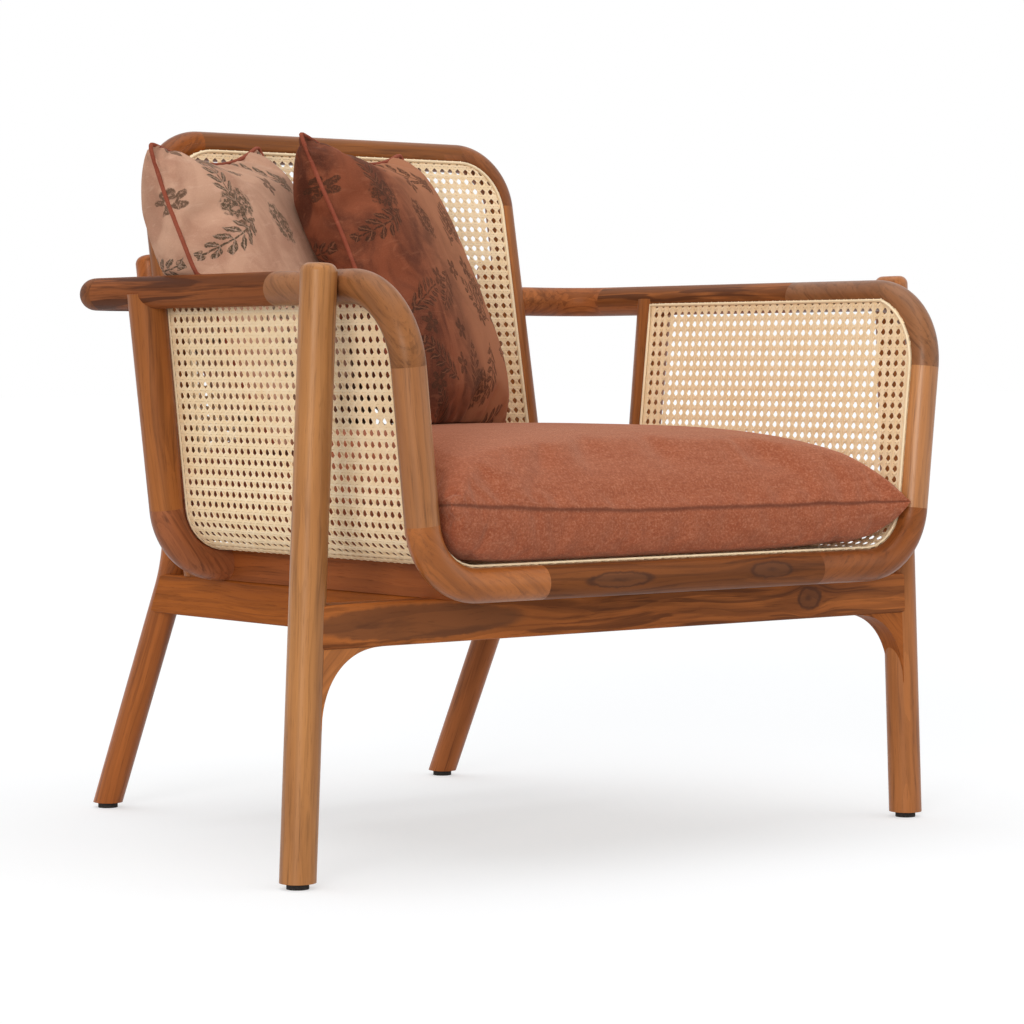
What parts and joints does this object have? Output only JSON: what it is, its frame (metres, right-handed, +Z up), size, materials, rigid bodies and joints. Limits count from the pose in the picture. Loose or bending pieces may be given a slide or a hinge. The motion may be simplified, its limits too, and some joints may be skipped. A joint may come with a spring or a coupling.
{
  "type": "lounge chair",
  "caption": "Low lounge chair with a bent wooden rod tub, woven cane sides, seat and back, splayed legs, a loose seat cushion and loose pillows.",
  "frame": {"origin": "centre of the footprint's box, on the floor", "axes": "+Z up, the front faces -Y, +X to the right of someone looking at the front"},
  "size_m": [0.8554, 0.7409, 0.7572],
  "materials": {
    "teak": "satin oiled warm brown wood",
    "dowel_wood": "raw pale wood",
    "cane": "natural woven cane",
    "cane_edging": "natural flat cane",
    "linen": "terracotta slub linen",
    "pink_velvet": "printed dusty pink velvet",
    "rust_velvet": "printed rust velvet",
    "glide": "matt dark",
    "screw": "zinc"
  },
  "bodies": {
    "chair_frame": {"back_bottom_rail": "teak", "back_cane": "cane", "back_cane_edging": "cane_edging", "back_left_corner": "teak", "back_left_stile": "teak", "back_right_corner": "teak", "back_right_stile": "teak", "back_top_rail": "teak", "foot_glides": "glide", "front_apron": "teak", "front_left_bracket": "teak", "front_left_leg": "teak", "front_left_seat_elbow": "teak", "front_left_upright": "teak", "front_right_bracket": "teak", "front_right_leg": "teak", "front_right_seat_elbow": "teak", "front_right_upright": "teak", "front_seat_rail": "teak", "joint_dowels": "dowel_wood", "left_arm_front_elbow": "teak", "left_arm_rail": "teak", "left_arm_rear_elbow": "teak", "left_base_rail": "teak", "left_tub_rail": "teak", "rail_screws": "screw", "rear_apron": "teak", "rear_left_leg": "teak", "rear_left_post": "teak", "rear_left_seat_elbow": "teak", "rear_right_leg": "teak", "rear_right_post": "teak", "rear_right_seat_elbow": "teak", "rear_seat_rail": "teak", "right_arm_front_elbow": "teak", "right_arm_rail": "teak", "right_arm_rear_elbow": "teak", "right_base_rail": "teak", "right_tub_rail": "teak", "tub_cane": "cane", "tub_cane_edging": "cane_edging"},
    "seat_cushion": {"seat_cushion": "linen"},
    "left_pillow": {"left_pillow": "pink_velvet"},
    "middle_pillow": {"middle_pillow": "rust_velvet"}
  },
  "joints": [
    {"name": "seat_cushion_lift", "type": "slide", "parent": "chair_frame", "child": "seat_cushion", "axis": [0, 0, 1], "range_m": [0, 0.35]},
    {"name": "left_pillow_lift", "type": "slide", "parent": "seat_cushion", "child": "left_pillow", "axis": [0, 0, 1], "range_m": [0, 0.4]},
    {"name": "middle_pillow_lift", "type": "slide", "parent": "left_pillow", "child": "middle_pillow", "axis": [0, 0, 1], "range_m": [0, 0.4]}
  ]
}
